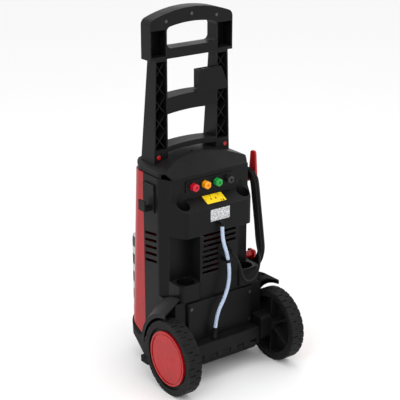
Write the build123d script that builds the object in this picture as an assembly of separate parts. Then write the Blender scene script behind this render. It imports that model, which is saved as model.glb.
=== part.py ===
from build123d import *
import math
import os

# Upright electric pressure washer, in millimetres. +Z is up, +Y is the rear (the side with the wheels
# and the nozzle rack), X runs across. The origin is on the floor, under the middle of the machine.

# ---- running gear
body_half = 140.0        # half the width of the housing, between the wheels
wheel_r = 100.0          # outside of the tread
wheel_width = 40.0
wheel_gap = 9.5          # from the housing's side to each wheel
wheel_out_x = body_half + wheel_gap + wheel_width
axle_y = 95.0
axle_r = 6.0
axle_clearance = 0.06    # running fit of hub and brackets on the axle
tyre_depth = 17.0        # tread blocks and band together
tread_block_depth = 3.5
tread_blocks = 30
tread_fill = 0.8         # share of the tread's pitch that a block takes
hub_cap_r = wheel_r - tyre_depth - 10.0
hub_cap_depth = 6.0
spokes = 6
hub_r = 17.0

# ---- housing
wall = 3.0
split_y = -75.0          # plane where the red front shell meets the rear shell
split_gap = 0.4          # joint line between neighbouring mouldings
rear_y = 66.0            # rear face of the housing
corner_y = -8.0          # the side starts to turn towards the rear face here
rear_half = body_half - 36.0  # half the width of the flat rear face
top_z = 548.0            # top edge of both shells
shelf_y = 25.0           # foot of the nozzle panel
shelf_z = top_z - 59.0   # height of the shelf at the nozzle panel
shelf_slope = 15.0 / 28.0
lower_z = 2 * wheel_r + 21.0  # top of the lower rear cover
cover_half = body_half - 32.4  # lower rear cover, between the wheels
cover_rear_y = 74.0
cover_front_y = -10.0
leg_rear_y = -52.0       # rear face of the handle's legs
leg_depth_foot = 61.0    # depth of a leg at its foot; the red shell stands in front of it
front_top_y = leg_rear_y - leg_depth_foot - 25.0  # front face of the red shell, at its top
front_low_y = front_top_y - 25.0  # and at its bottom
front_corner_r = 45.0
skirt_front_z = 118.0    # slanted top edge of the base, at the front
skirt_side_z = 76.0      # and at the split plane

# ---- lance holsters, one on each side
holster_x = body_half - 45.0
holster_y = 40.0
holster_r = 17.5
recess_half = 34.0
recess_floor_y = 20.0
recess_z0 = lower_z + 7.0
recess_z1 = shelf_z - 91.0

# ---- handle
leg_foot_z = top_z + 16.0
leg_length = 282.0
leg_top_z = leg_foot_z + leg_length
leg_in_x = body_half - 63.0
leg_out_foot = leg_in_x + 43.0
leg_out_top = leg_in_x + 36.0
leg_depth_top = 34.0
tenon_length = 58.0
tenon_step = 2.0         # the tenon is this much smaller than the leg, all round
socket_clearance = 0.5
head_half = leg_in_x + 51.0
head_z0 = leg_top_z - 7.0
head_side_z = leg_top_z + 91.0
head_top_z = head_side_z + 26.0
head_depth = 40.0
grip_low_z = leg_top_z + 19.0
grip_high_z = grip_low_z + 61.0
grip_half = leg_in_x

# ---- nozzles
nozzle_xs = {"red": 55.6, "yellow": 18.5, "green": -18.5, "black": -55.6}
nozzle_z = shelf_z + 31.0
nozzle_r = 11.0
nozzle_stem_r = 5.6
nozzle_bore_r = 6.0
nozzle_stem = 20.0
nozzle_head = 15.0

parts = {}


def box(x0, x1, y0, y1, z0, z1):
    centre = Pos((x0 + x1) / 2, (y0 + y1) / 2, (z0 + z1) / 2)
    return centre * Box(x1 - x0, y1 - y0, z1 - z0)


def rod(start, end, radius):
    """Round bar between two points on a line parallel to an axis."""
    a = Vector(*start)
    b = Vector(*end)
    plane = Plane(origin=a, z_dir=b - a)
    return extrude(plane * Circle(radius), amount=(b - a).length)


def tube(start, end, outer, inner):
    return rod(start, end, outer) - rod(start, end, inner)


def prism_x(outline, x0, x1):
    """Side outline (y, z) pushed from x0 to x1."""
    face = make_face(Polyline(*[(x0, y, z) for y, z in outline], close=True))
    return extrude(face, amount=x1 - x0, dir=(1, 0, 0))


def prism_y(outline, y0, y1):
    """Rear view outline (x, z) pushed from y0 to y1."""
    face = make_face(Polyline(*[(x, y0, z) for x, z in outline], close=True))
    return extrude(face, amount=y1 - y0, dir=(0, 1, 0))


def prism_z(outline, z0, z1):
    """Plan outline (x, y) pushed from z0 to z1."""
    face = make_face(Polyline(*[(x, y, z0) for x, y in outline], close=True))
    return extrude(face, amount=z1 - z0, dir=(0, 0, 1))


def both_sides(shape):
    """The shape and its mirror image across the X = 0 plane, as two solids of one node."""
    return Compound(children=list(shape.solids()) + list(mirror(shape, Plane.YZ).solids()))


def one(shape):
    """The single solid of a shape."""
    return shape.solids()[0]


def turned_about_axle(shape, angle):
    """Turn a shape about the wheels' centre line."""
    return shape.rotate(Axis((0, axle_y, wheel_r), (1, 0, 0)), angle)


# ---- wheels: a moulded tread, a spoked rim that runs on the axle, and a red cap over the hub
def ring_x(x0, x1, outer, inner):
    return tube((x0, axle_y, wheel_r), (x1, axle_y, wheel_r), outer, inner)


def make_wheel(side):
    name = "left" if side > 0 else "right"
    x_out = wheel_out_x
    x_in = wheel_out_x - wheel_width
    rim_r = wheel_r - tyre_depth
    band_r = wheel_r - tread_block_depth
    tyre = ring_x(x_in, x_out - 1.0, band_r, rim_r)
    block_half = math.pi * wheel_r / tread_blocks * tread_fill
    half = wheel_width / 2
    mid = (x_in + x_out - 1.0) / 2
    blocks = []
    for row in (-1, 1):
        x0 = mid - half + 1.5 if row < 0 else mid - 1.5
        x1 = mid + 1.5 if row < 0 else mid + half - 1.5
        block = ring_x(x0, x1, wheel_r, band_r - 1.0)
        block &= box(x0, x1, axle_y - block_half, axle_y + block_half, wheel_r, 2 * wheel_r + 1)
        for i in range(tread_blocks):
            turn = 360.0 / tread_blocks * (i + (0.5 if row > 0 else 0.0))
            blocks.append(turned_about_axle(block, turn))
    tyre = tyre.fuse(*blocks)
    rim = ring_x(x_in + 3, x_out - hub_cap_depth - 1, rim_r, rim_r - 4.0)
    rim += ring_x(x_in - 6, x_out - hub_cap_depth - 1, hub_r, axle_r + axle_clearance)
    web_x = x_out - hub_cap_depth - 5
    rim += ring_x(web_x, web_x + 3, rim_r, axle_r + axle_clearance)
    for i in range(spokes):
        rib = box(x_in + 6, web_x + 1, axle_y - 2.5, axle_y + 2.5, wheel_r + hub_r - 2, wheel_r + rim_r - 3)
        rim += turned_about_axle(rib, 360.0 / spokes * i)
    cap = rod((x_out - hub_cap_depth, axle_y, wheel_r), (x_out, axle_y, wheel_r), hub_cap_r)
    cap -= rod((x_out - 2.5, axle_y, wheel_r), (x_out + 1, axle_y, wheel_r), hub_cap_r - 5)
    cap += rod((x_out - 3.0, axle_y, wheel_r), (x_out - 1.0, axle_y, wheel_r), hub_cap_r - 9)
    cap -= rod((x_out - hub_cap_depth - 1, axle_y, wheel_r), (x_out - 3.5, axle_y, wheel_r), hub_r + 3)
    for key, shape in (("tyre", tyre), ("rim", rim), ("hub_cap", cap)):
        parts[f"{key}_{name}"] = shape if side > 0 else mirror(shape, Plane.YZ)


make_wheel(1)
make_wheel(-1)

# ---- axle: one steel bar through both brackets, with a push-on retainer outside each wheel
retainer_x = wheel_out_x - hub_cap_depth - 1
axle_end_x = retainer_x + 3
parts["axle"] = rod((-axle_end_x, axle_y, wheel_r), (axle_end_x, axle_y, wheel_r), axle_r)
retainer = tube((retainer_x + 0.3, axle_y, wheel_r), (retainer_x + 2.0, axle_y, wheel_r), 11.0, axle_r)
parts["axle_retainers"] = both_sides(retainer)

# ---- housing outlines. inset = 0 is the outside, inset = wall is the inside.
def rear_plan(inset):
    """Plan of the rear shell: straight sides that turn in to a flat rear face."""
    side = body_half - inset
    back = rear_y - inset
    lean = inset * 0.6
    front = split_y + split_gap / 2 - (1.0 if inset else 0.0)
    points = [(side, front), (side, corner_y - lean), (rear_half - lean, back)]
    return points + [(-x, y) for x, y in reversed(points)]


def shelf_height(y):
    return shelf_z - (y - shelf_y) * shelf_slope


def rear_mass(inset):
    """Solid block of the rear shell: nozzle panel, sloping shelf, then the rear face."""
    block = prism_z(rear_plan(inset), lower_z, top_z + inset)
    upright = [e for e in block.edges().filter_by(Axis.Z) if e.center().Y > corner_y - 10]
    block = fillet(upright, 16.0 - inset)
    drop = inset * 1.13
    step = [(shelf_y - inset, top_z + 20), (shelf_y - inset, shelf_height(shelf_y) - drop),
            (rear_y + 10, shelf_height(rear_y + 10) - drop), (rear_y + 10, top_z + 20)]
    block -= prism_x(step, -body_half - 5, body_half + 5)
    bottom = skirt_side_z - inset * 2
    skirt = box(-body_half + inset, body_half - inset, rear_plan(inset)[0][1], rear_y - inset, bottom,
                lower_z + 5)
    bay_half = cover_half + split_gap + inset
    bay = box(-bay_half, bay_half, cover_front_y - split_gap - inset, rear_y + 10, bottom - 5, lower_z)
    return block + (skirt - bay)


def low_edge(y):
    """Height of the slanted joint between the base and the housing above it."""
    share = (y - split_y) / (front_low_y - split_y)
    return skirt_side_z + (skirt_front_z - skirt_side_z) * share


def front_mass(inset):
    """Solid block of the front shell: leaning front face with large round corners."""
    back = split_y - split_gap / 2 + (1.0 if inset else 0.0)
    run = inset * 2
    outline = [(back, low_edge(back) - run), (front_low_y + inset, low_edge(front_low_y) - run),
               (front_top_y + inset, top_z + run), (back, top_z + run)]
    block = prism_x(outline, -body_half + inset, body_half - inset)
    corners = [e for e in block.edges() if e.center().Y < split_y - 20 and abs(e.center().X) > 50
               and e.length > 300]
    return fillet(corners, front_corner_r - inset)


# ---- lance holsters: an open recess in the rear face below a round hole through the shelf
def holster(side, grow):
    recess = box(holster_x - recess_half - grow, holster_x + recess_half + grow, recess_floor_y - grow,
                 rear_y + 10, recess_z0 - grow, recess_z1 + grow)
    hole = rod((holster_x, holster_y, recess_z1 - 10), (holster_x, holster_y, shelf_z + 20 - grow),
               holster_r + grow)
    shape = recess + hole
    return shape if side > 0 else mirror(shape, Plane.YZ)


# ---- rear shell, with louvres in the rear face and slanted vents in both sides
louvre_rows = 8
louvre_pitch = 14.5
louvre_top_z = 396.0
louvre_height = 6.0
louvre_left = 54.0
louvre_right = -54.0
vent_rows = 5
vent_pitch = 19.0
vent_top_z = 390.0

rear_shell = rear_mass(0) - holster(1, 0) - holster(-1, 0)
rear_hollow = rear_mass(wall) - holster(1, wall) - holster(-1, wall)
rear_shell -= rear_hollow
rear_shell = one(rear_shell)
slots = []
for i in range(louvre_rows):
    z = louvre_top_z - i * louvre_pitch
    x_right = louvre_right if i < 3 else 2.0
    slot = box(x_right, louvre_left, rear_y - 12, rear_y + 12, -louvre_height / 2, louvre_height / 2)
    slot = slot.rotate(Axis((0, rear_y, 0), (1, 0, 0)), 35)
    slots.append(Pos(0, 0, z) * slot)
for i in range(vent_rows):
    vent = box(-8, 8, -27, 27, -4.0, 4.0).rotate(Axis.X, 9)
    for side in (-1, 1):
        slots.append(Pos(side * body_half, -43, vent_top_z - i * vent_pitch) * vent)
rear_shell = rear_shell - slots
parts["rear_shell"] = rear_shell

# ---- front shell, open behind and below, with holes for the switch and the two water fittings
fitting_z = 404.0
fitting_x = 46.0
fitting_hole_r = 19.0
switch_z = top_z - 56.0
switch_hole_r = 10.0
front_shell = front_mass(0) - front_mass(wall)
front_shell = one(front_shell)
for x, z, r in ((fitting_x, fitting_z, fitting_hole_r), (-fitting_x, fitting_z, fitting_hole_r),
                (0, switch_z, switch_hole_r)):
    front_shell -= rod((x, front_low_y - 20, z), (x, front_low_y + 60, z), r)
parts["front_shell"] = front_shell

# ---- base: an open tray with a raked front skirt and a rear beam that carries the axle
base_floor_z = 16.0
base_wall = 3.5
beam_y0 = axle_y - 29.0
beam_y1 = axle_y + 9.0
beam_z0 = wheel_r - 38.0
beam_z1 = wheel_r + 10.0
beam_half = cover_half + split_gap
beam_root_z = skirt_side_z - 14.0
base_front_y = front_low_y + 8.0


def base_mass(inset):
    rise = inset * 3
    outline = [(base_front_y + inset, low_edge(base_front_y) - split_gap + rise),
               (base_front_y + 4 + inset, 60), (-98 + inset, base_floor_z + inset),
               (beam_y0 - 20 - inset, base_floor_z + inset), (beam_y0 - inset, beam_z0 - 16),
               (beam_y0 - inset, skirt_side_z - split_gap + rise), (split_y, skirt_side_z - split_gap + rise)]
    block = prism_x(outline, -body_half + inset, body_half - inset)
    corners = [e for e in block.edges() if e.center().Y < -90 and 30 < e.center().Z < 110
               and abs(e.center().X) > 100 and e.length > 30 and abs(e.tangent_at(0.5).X) < 0.1]
    return fillet(corners, 20.0 - inset)


base = one(base_mass(0) - base_mass(base_wall))
beam = box(-beam_half, beam_half, beam_y0 - base_wall, beam_y1, beam_z0, beam_z1)
beam += box(-beam_half, beam_half, beam_y0 - base_wall, beam_y0, beam_root_z, beam_z1)
beam -= box(-beam_half + 4, beam_half - 4, beam_y0, beam_y1 - 4, beam_z0 - 1, wheel_r - axle_r - 8)
for i in range(5):
    x = (i - 2) * 44.0
    beam -= box(x - 12, x + 12, beam_y1 - 6, beam_y1 + 1, beam_z0 - 1, beam_z0 + 16)
beam -= rod((-beam_half - 1, axle_y, wheel_r), (beam_half + 1, axle_y, wheel_r), axle_r + 0.4)
base += beam
for x in (-1, 1):
    for y in (-1, 1):
        base += rod((x * 62, -35 + y * 45, base_floor_z + 1), (x * 62, -35 + y * 45, 60), 7)
parts["base_tray"] = base

# ---- lower rear cover, between the two wheels
cover = box(-cover_half, cover_half, cover_front_y, cover_rear_y, beam_z1 + split_gap, lower_z - split_gap)
back_edges = [e for e in cover.edges().filter_by(Axis.Z) if e.center().Y > 0]
cover = fillet(back_edges, 8)
inside = box(-cover_half + wall, cover_half - wall, cover_front_y - 1, cover_rear_y - wall,
             beam_z1 - 1, lower_z - split_gap - wall)
parts["lower_rear_cover"] = cover - inside

# ---- fenders: coned guards that follow the wheels, fixed to the housing's sides
fender_root_r = wheel_r + 51.0
fender_tip_r = wheel_r + 19.5
fender_lip_r = wheel_r + 8.0
fender_x = wheel_out_x - 1.5
fender_arc = 84.0
section = [(body_half + split_gap, fender_root_r), (fender_x, fender_tip_r), (fender_x, fender_lip_r),
           (fender_x - wall, fender_lip_r), (fender_x - wall, fender_tip_r - wall),
           (body_half + split_gap, fender_root_r - wall - 0.5)]
profile = make_face(Polyline(*[(x, axle_y, wheel_r + r) for x, r in section], close=True))
fender = revolve(profile, Axis((0, axle_y, wheel_r), (1, 0, 0)), revolution_arc=fender_arc)
fender = turned_about_axle(fender, 4)
parts["fenders"] = both_sides(one(fender))

# ---- axle brackets, bolted to the ends of the base's rear beam
bracket_x1 = body_half + wheel_gap - 6.5
bracket_y0 = rear_y + 1.0
bracket = box(beam_half, bracket_x1, bracket_y0, axle_y + 17, wheel_r - 26, wheel_r + 37)
bracket = fillet([e for e in bracket.edges().filter_by(Axis.X) if e.center().Y > axle_y], 8)
bracket -= box(beam_half + 8, bracket_x1 - 8, bracket_y0 - 1, axle_y - 11,
               wheel_r - 30, wheel_r + 29)
bracket -= rod((beam_half - 1, axle_y, wheel_r), (bracket_x1 + 1, axle_y, wheel_r), axle_r + axle_clearance)
parts["axle_brackets"] = both_sides(bracket)

# ---- feet: two rubber pads under the front of the base
foot = box(body_half - 36, body_half + 3, -100, -62, 0, base_floor_z)
foot = fillet(foot.edges().filter_by(Axis.Z), 6)
parts["front_feet"] = both_sides(foot)

# ---- top cap: an arched cover with a deep socket for each leg of the handle
cap_z0 = top_z + split_gap
cap_end_z = top_z + 14.0
cap_crown_z = top_z + 42.0
cap_half = body_half - 3.0
cap_front_y = front_top_y + 2.0
cap_rear_y = 29.0
socket_wall = 4.0


def cap_mass(inset):
    half = cap_half - inset
    low = cap_z0 - inset
    arch = Polyline((half, cap_end_z - inset, 0), (half, low, 0), (-half, low, 0),
                    (-half, cap_end_z - inset, 0))
    top = ThreePointArc((-half, cap_end_z - inset, 0), (0, cap_crown_z - inset, 0),
                        (half, cap_end_z - inset, 0))
    face = Plane.XZ * make_face(arch + top)
    block = Pos(0, 60, 0) * extrude(face, amount=220, dir=(0, -1, 0))
    side = [(cap_front_y + inset, low - 1), (cap_front_y + inset, cap_z0 + 10 - inset),
            (cap_front_y + 18, cap_crown_z + 2),
            (-30, cap_crown_z + 2), (cap_rear_y - inset, cap_z0 + 4 - inset), (cap_rear_y - inset, low - 1)]
    if inset:
        side = [(y, z - (2.0 if z > cap_crown_z else 0)) for y, z in side]
    return block & prism_x(side, -cap_half - 5, cap_half + 5)


def leg_front(z):
    """Depth of the handle's leg grows towards the foot."""
    share = (leg_top_z - z) / (leg_top_z - leg_foot_z)
    return leg_rear_y - (leg_depth_top + (leg_depth_foot - leg_depth_top) * share)


leg_foot_front = leg_front(leg_foot_z)
tenon_z = leg_foot_z - tenon_length
gap = socket_clearance


def tenon(grow, z0, z1):
    return box(leg_in_x + tenon_step - grow, leg_out_foot - tenon_step + grow,
               leg_foot_front + tenon_step - grow, leg_rear_y - tenon_step + grow, z0, z1)


cap_outer = cap_mass(0)
socket = box(leg_in_x - socket_wall, leg_out_foot + socket_wall, leg_foot_front - socket_wall,
             leg_rear_y + socket_wall, tenon_z - 4, cap_crown_z + 5)
below = box(0, cap_half, -200, 100, tenon_z - 5, cap_z0)
socket = socket & (cap_outer + below)
mouth = box(leg_in_x - gap, leg_out_foot + gap, leg_foot_front - gap - 1, leg_rear_y + gap, leg_foot_z,
            cap_crown_z + 10)
cap = cap_outer - cap_mass(wall)
for side in (1, -1):
    solid = one(socket) if side > 0 else mirror(one(socket), Plane.YZ)
    hole = mouth + tenon(gap, tenon_z - 6, leg_foot_z + 1)
    cap = cap + solid - (hole if side > 0 else mirror(hole, Plane.YZ))
outline = [(cap_half, cap_front_y - 1), (cap_half, corner_y), (cap_half - 19, cap_rear_y + 1)]
footprint = prism_z(outline + [(-x, y) for x, y in reversed(outline)], tenon_z - 20, cap_crown_z + 20)
upright_edges = footprint.edges().filter_by(Axis.Z)
footprint = fillet([e for e in upright_edges if e.center().Y < cap_front_y], front_corner_r)
footprint = fillet([e for e in footprint.edges().filter_by(Axis.Z) if e.center().Y > corner_y - 1], 12)
parts["top_cap"] = one(cap & footprint)

# ---- grille: a pale surround on the front shell with a dark barred insert
grille_z0 = 66.0
grille_z1 = 336.0
grille_half = body_half - 39.0
grille_y = front_low_y - 32.0
grille_rim = 9.0
grille_bars = 12
bar_width = 10.0
seat_gap = 0.4
lean = (front_top_y - front_low_y) / (top_z - skirt_front_z)


def front_face(z):
    """Y of the leaning front face at a height."""
    return front_low_y + (z - skirt_front_z) * lean


seat = [(grille_y + 4, grille_z0), (base_front_y - 1, grille_z0), (base_front_y - 1, skirt_front_z - 4),
        (front_face(skirt_front_z) - seat_gap, skirt_front_z), (front_face(grille_z1) - seat_gap, grille_z1),
        (grille_y + 6, grille_z1), (grille_y, grille_z1 - 30), (grille_y, grille_z0 + 30)]
surround = prism_x(seat, -grille_half, grille_half)
surround = fillet([e for e in surround.edges() if e.center().Y < -160 and abs(e.center().X) > 90
                   and abs(e.tangent_at(0.5).X) < 0.1 and e.length > 150], 4)
window = box(-grille_half + grille_rim, grille_half - grille_rim, grille_y - 5, grille_y + 60,
             grille_z0 + grille_rim, grille_z1 - grille_rim)
parts["grille_surround"] = surround - window
slack = 0.5
insert_half = grille_half - grille_rim - slack
insert_z0 = grille_z0 + grille_rim + slack
insert_z1 = grille_z1 - grille_rim - slack
insert = box(-insert_half, insert_half, grille_y + 14, grille_y + 17, insert_z0, insert_z1)
pitch = (insert_z1 - insert_z0 - 16) / (grille_bars - 1)
for i in range(grille_bars):
    z = insert_z0 + 8 + i * pitch
    insert -= box(-insert_half + 8, insert_half - 8, grille_y + 10, grille_y + 20, z + 2, z + pitch - 2)
for x in (-insert_half / 3, insert_half / 3):
    insert += box(x - 3, x + 3, grille_y + 14, grille_y + 17, insert_z0, insert_z1)
for x in (-insert_half + 8, insert_half - 8):
    for z in (insert_z0 + 8, insert_z1 - 8):
        insert += box(x - 4, x + 4, grille_y + 16.5, front_face(max(z, skirt_front_z)) - 1.5, z - 4, z + 4)
parts["grille_insert"] = insert

# ---- lance cups: open bowls that stand in the foot of each holster
cup_gap = 0.5
cup = box(holster_x - recess_half + cup_gap, holster_x + recess_half - cup_gap, recess_floor_y + cup_gap,
          rear_y + 9, recess_z0 + cup_gap, recess_z0 + 46)
cup = fillet([e for e in cup.edges().filter_by(Axis.Z) if e.center().Y > rear_y], 12)
cup_bore_r = 24.0
cup_floor = 5.0
cup -= rod((holster_x, holster_y + 8, recess_z0 + cup_floor), (holster_x, holster_y + 8, recess_z1),
           cup_bore_r)
parts["lance_cups"] = both_sides(one(cup))

# ---- nozzle rack: a plate on the nozzle panel with four sleeves through the shell, and its nozzles
rack_front = 3.0
rack_half = nozzle_xs["red"] + 22.4
rack_plate = box(-rack_half, rack_half, shelf_y + 0.1, shelf_y + rack_front, nozzle_z - 17, nozzle_z + 17)
rack_plate = fillet(rack_plate.edges().filter_by(Axis.Y), 6)
sleeve_r = nozzle_bore_r + 2.5
sleeve_y = shelf_y - nozzle_stem - 6
shell_hole_gap = 0.4
for x in nozzle_xs.values():
    rack_plate += rod((x, sleeve_y, nozzle_z), (x, shelf_y + 1, nozzle_z), sleeve_r)
for colour, x in nozzle_xs.items():
    rack_plate -= rod((x, sleeve_y + 2, nozzle_z), (x, shelf_y + 20, nozzle_z), nozzle_bore_r)
    hole = rod((x, shelf_y - 12, nozzle_z), (x, shelf_y + 12, nozzle_z), sleeve_r + shell_hole_gap)
    parts["rear_shell"] -= hole
    seat_y = shelf_y + rack_front + 0.2
    tip_y = seat_y + nozzle_head
    nozzle = rod((x, seat_y - nozzle_stem, nozzle_z), (x, seat_y + 1, nozzle_z), nozzle_stem_r)
    nozzle -= rod((x, seat_y - nozzle_stem + 7, nozzle_z), (x, seat_y - nozzle_stem + 10, nozzle_z),
                  20) - rod(
        (x, seat_y - nozzle_stem + 7, nozzle_z), (x, seat_y - nozzle_stem + 10, nozzle_z), nozzle_stem_r - 1)
    hexagon = Plane(origin=(x, seat_y, nozzle_z), z_dir=(0, 1, 0)) * RegularPolygon(nozzle_r, 6)
    head = extrude(hexagon, amount=nozzle_head)
    head = chamfer(head.faces().sort_by(Axis.Y)[-1].edges(), 1.6)
    nozzle += head
    nozzle -= rod((x, tip_y - 3, nozzle_z), (x, tip_y + 1, nozzle_z), 4.0)
    nozzle -= rod((x, seat_y - nozzle_stem - 1, nozzle_z), (x, tip_y + 1, nozzle_z), 1.2)
    parts[f"nozzle_{colour}"] = nozzle
parts["nozzle_rack"] = rack_plate

# ---- labels: thin blank plates, one on the shelf and one on the rear face below it
label_thick = 0.4
rating_z1 = shelf_z - 27.0
rating_z0 = rating_z1 - 32.0
parts["rating_label"] = box(-33, 28, rear_y, rear_y + label_thick, rating_z0, rating_z1)
slab = [(27.5, shelf_height(27.5)), (53, shelf_height(53)), (53, shelf_height(53) + label_thick),
        (27.5, shelf_height(27.5) + label_thick)]
parts["warning_label"] = prism_x(slab, -33, 28)

# ---- side hook for the high-pressure hose, on the left side of the machine
hook_x = body_half + split_gap
side_hook_z = top_z - 92.0
side_hook = box(hook_x, hook_x + 4, -70, -22, side_hook_z - 4, side_hook_z + 71)
side_hook += box(hook_x, hook_x + 24, -62, -34, side_hook_z, side_hook_z + 6)
side_hook += box(hook_x + 19, hook_x + 24, -62, -34, side_hook_z, side_hook_z + 28)
side_hook = fillet([e for e in side_hook.edges().filter_by(Axis.X) if e.length < 5], 2)
parts["side_hook"] = side_hook

# ---- cable hooks on the right side: the upper one turns on its boss to let the cord drop off
cable_hook_y = -16.0
upper_hook_z = top_z - 58.0
lower_hook_z = 2 * wheel_r + 68.0
hook_in_x = -(body_half + split_gap)
hook_flange_x = hook_in_x - 31.6
hook_flange = 6.0
boss_r = 13.0


def cable_hook(z, direction):
    """Post out of the side, with a tapering flange that keeps the coils on."""
    post = rod((hook_in_x - 4.2, cable_hook_y, z), (hook_flange_x, cable_hook_y, z), 9.0)
    far = z + direction * 73
    near = z - direction * 11
    flange = Plane.YZ.offset(hook_flange_x - hook_flange) * make_face(Polyline(
        (cable_hook_y - 16, near), (cable_hook_y + 16, near), (cable_hook_y + 9, far),
        (cable_hook_y - 9, far), close=True))
    plate = extrude(flange, amount=hook_flange, dir=(1, 0, 0))
    plate = fillet(plate.edges().filter_by(Axis.X), 7)
    return post + plate


pivot_r = 6.0
parts["rear_shell"] += rod((hook_in_x - 3.6, cable_hook_y, upper_hook_z),
                           (-body_half + 6, cable_hook_y, upper_hook_z), boss_r)
parts["rear_shell"] -= rod((-body_half - 10, cable_hook_y, upper_hook_z),
                           (-body_half + 20, cable_hook_y, upper_hook_z), pivot_r + 0.06)
pivot = rod((hook_in_x - 4.5, cable_hook_y, upper_hook_z), (hook_in_x + 8, cable_hook_y, upper_hook_z),
            pivot_r)
parts["cable_hook"] = cable_hook(upper_hook_z, 1) + pivot
lower_hook = cable_hook(lower_hook_z, -1) & box(
    hook_flange_x - 28, 0, -100, 100, lower_hook_z - 40, lower_hook_z + 20)
lower_hook += rod((hook_in_x, cable_hook_y, lower_hook_z), (hook_in_x - 5, cable_hook_y, lower_hook_z), 9.0)
parts["lower_cable_hook"] = lower_hook

# ---- handle: one moulded frame of two legs and two cross bars, open-backed with diagonal ribs
mid_bar_z0 = leg_foot_z + 132.0
mid_bar_z1 = mid_bar_z0 + 42.0
low_bar_z0 = leg_foot_z + 32.0
low_bar_z1 = low_bar_z0 + 14.0
bar_rise = 5.0
leg_wall = 3.6
channel_z0 = leg_foot_z + 40.0
channel_z1 = leg_top_z - 12.0
rib = 1.3                # half the thickness of a rib


def leg_out(z):
    """Outer side of a leg: it splays a little towards the foot."""
    return leg_out_foot + (leg_out_top - leg_out_foot) * (z - leg_foot_z) / (leg_top_z - leg_foot_z)


def bowed_bar(z0, z1, half, y0, y1):
    """Cross bar with a bowed top and underside."""
    sides = Polyline((half, z1, 0), (half, z0, 0))
    under = ThreePointArc((half, z0, 0), (0, z0 + bar_rise, 0), (-half, z0, 0))
    other = Polyline((-half, z0, 0), (-half, z1, 0))
    top = ThreePointArc((-half, z1, 0), (0, z1 + bar_rise, 0), (half, z1, 0))
    face = Plane.XZ * make_face(sides + under + other + top)
    return Pos(0, y1, 0) * extrude(face, amount=y1 - y0, dir=(0, -1, 0))


leg_side = [(leg_front(leg_foot_z), leg_foot_z), (leg_rear_y, leg_foot_z), (leg_rear_y, leg_top_z),
            (leg_front(leg_top_z), leg_top_z)]
leg = prism_y([(leg_in_x, leg_foot_z), (leg_out_foot, leg_foot_z), (leg_out_top, leg_top_z),
               (leg_in_x, leg_top_z)], leg_foot_front - 17, leg_rear_y) & prism_x(leg_side, 0, leg_out_foot + 30)
channel_side = [(leg_front(channel_z0) + leg_wall, channel_z0), (leg_rear_y + 1, channel_z0),
                (leg_rear_y + 1, channel_z1), (leg_front(channel_z1) + leg_wall, channel_z1)]
channel = prism_y([(leg_in_x + leg_wall, channel_z0), (leg_out(channel_z0) - leg_wall, channel_z0),
                   (leg_out(channel_z1) - leg_wall, channel_z1), (leg_in_x + leg_wall, channel_z1)],
                  leg_foot_front - 17, leg_rear_y + 1) & prism_x(channel_side, 0, leg_out_foot + 30)
leg = one(leg - channel) + tenon(0, tenon_z, leg_foot_z + 1)
bays = 5
bay_height = (channel_z1 - channel_z0) / bays
ribs = []
for i in range(bays):
    z = channel_z0 + i * bay_height
    for slope in (1, -1):
        start, end = (z, z + bay_height) if slope > 0 else (z + bay_height, z)
        ribs.append(prism_y([(leg_in_x + 2, start - rib), (leg_in_x + 2, start + rib),
                             (leg_out(z) - 2, end + rib),
                             (leg_out(z) - 2, end - rib)], leg_foot_front - 17, leg_rear_y - 7))
ribs = [r & channel for r in ribs]
leg = leg.fuse(*[one(r) for r in ribs])
frame = leg + mirror(leg, Plane.YZ)
frame += bowed_bar(mid_bar_z0, mid_bar_z1, leg_in_x + 1, leg_front(mid_bar_z0) + 4, leg_rear_y)
frame -= box(-leg_in_x + 3, leg_in_x - 3, leg_front(mid_bar_z0) + 8, leg_rear_y - leg_wall,
             mid_bar_z0 + bar_rise + 4, mid_bar_z1 - 4)
frame += bowed_bar(low_bar_z0, low_bar_z1, leg_in_x + 1, leg_front(low_bar_z0) + 12, leg_rear_y)

# ---- snap buttons: sprung catches in the rear of each leg's foot
button_x = leg_in_x + 29.0
button_z = leg_foot_z + 22.0
button_r = 5.5
button_travel = 4.0
button_proud = 2.0
bore_depth = 18.0
for side, name in ((1, "left"), (-1, "right")):
    x = side * button_x
    frame -= rod((x, leg_rear_y - bore_depth, button_z), (x, leg_rear_y + 1, button_z), button_r + 0.3)
    button = rod((x, leg_rear_y - bore_depth + button_travel + 1, button_z),
                 (x, leg_rear_y + button_proud, button_z),
                 button_r)
    parts[f"snap_button_{name}"] = chamfer(button.edges().filter_by(GeomType.CIRCLE).sort_by(Axis.Y)[-1:], 1.0)
parts["handle_frame"] = one(frame)

# ---- grip head: a wide sleeve over the tops of the legs, with the grip bar across it
head_front_y = leg_rear_y - head_depth
head_wall = 3.4


def head_outline(inset):
    """Rear view of the head: straight sides, then a low arch."""
    half = head_half - inset
    base_line = Polyline((-half, head_side_z - inset, 0), (-half, head_z0 - inset * 2, 0),
                         (half, head_z0 - inset * 2, 0), (half, head_side_z - inset, 0))
    crown = ThreePointArc((half, head_side_z - inset, 0), (0, head_top_z - inset, 0),
                          (-half, head_side_z - inset, 0))
    return base_line + crown


def head_block(inset, y0, y1):
    face = Plane.XZ * make_face(head_outline(inset))
    return Pos(0, y1, 0) * extrude(face, amount=y1 - y0, dir=(0, -1, 0))


def grip_hole(grow, y0, y1):
    half = grip_half + grow
    top = ThreePointArc((half, grip_high_z - 9 + grow, 0), (0, grip_high_z + grow, 0),
                        (-half, grip_high_z - 9 + grow, 0))
    sides = Polyline((-half, grip_high_z - 9 + grow, 0), (-half, grip_low_z - grow, 0),
                     (half, grip_low_z - grow, 0),
                     (half, grip_high_z - 9 + grow, 0))
    face = Plane.XZ * make_face(top + sides)
    block = Pos(0, y1, 0) * extrude(face, amount=y1 - y0, dir=(0, -1, 0))
    return fillet([e for e in block.edges().filter_by(Axis.Y)], 13)


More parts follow.
